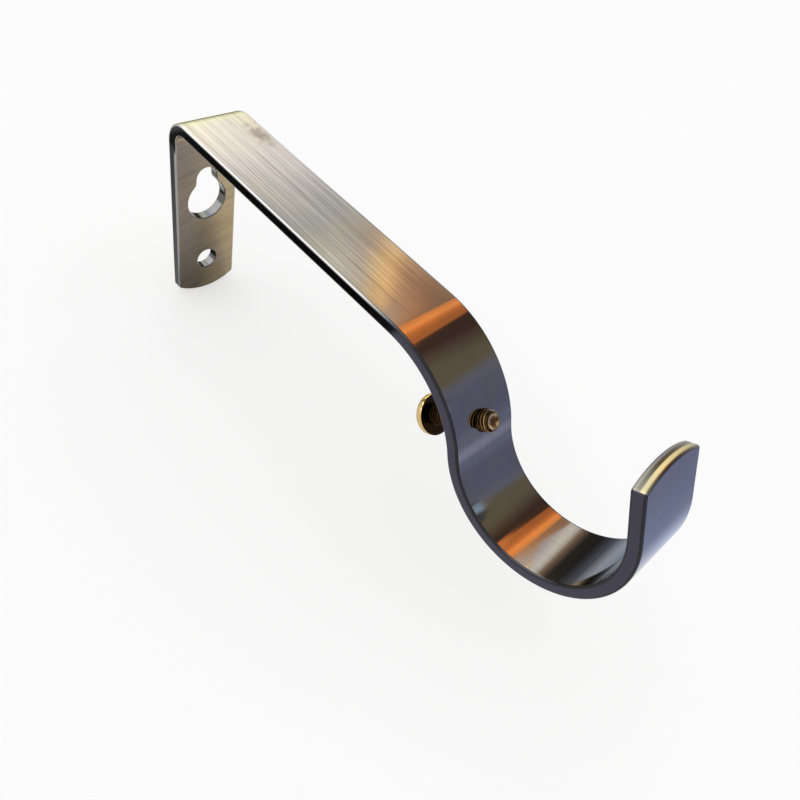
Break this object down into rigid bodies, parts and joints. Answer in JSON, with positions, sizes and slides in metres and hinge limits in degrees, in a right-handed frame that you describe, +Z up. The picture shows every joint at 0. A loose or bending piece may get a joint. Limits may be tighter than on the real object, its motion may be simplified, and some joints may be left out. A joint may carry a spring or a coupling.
{
  "type": "curtain pole bracket",
  "caption": "Flat metal strap folded into a wall leg, a level arm and an open hook that cradles a curtain pole, with a locking screw through the hook.",
  "frame": {"origin": "centre of the lower fixing hole, on the wall face, at mid-width of the strap", "axes": "+X out from the wall along the arm, +Y across the strap, +Z up as mounted"},
  "size_m": [0.1199, 0.015, 0.0556],
  "materials": {
    "antique_plate": "antique brass plating, brushed, dark along its edges",
    "screw_brass": "bright brass plating"
  },
  "bodies": {
    "bracket": {"bracket_strap": "antique_plate"},
    "locking_screw": {"pole_locking_screw": "screw_brass"}
  },
  "joints": [
    {"name": "screw_travel", "type": "slide", "parent": "bracket", "child": "locking_screw", "axis": [0.7547, 0, 0.6561], "range_m": [-0.0023, 0.008]}
  ]
}
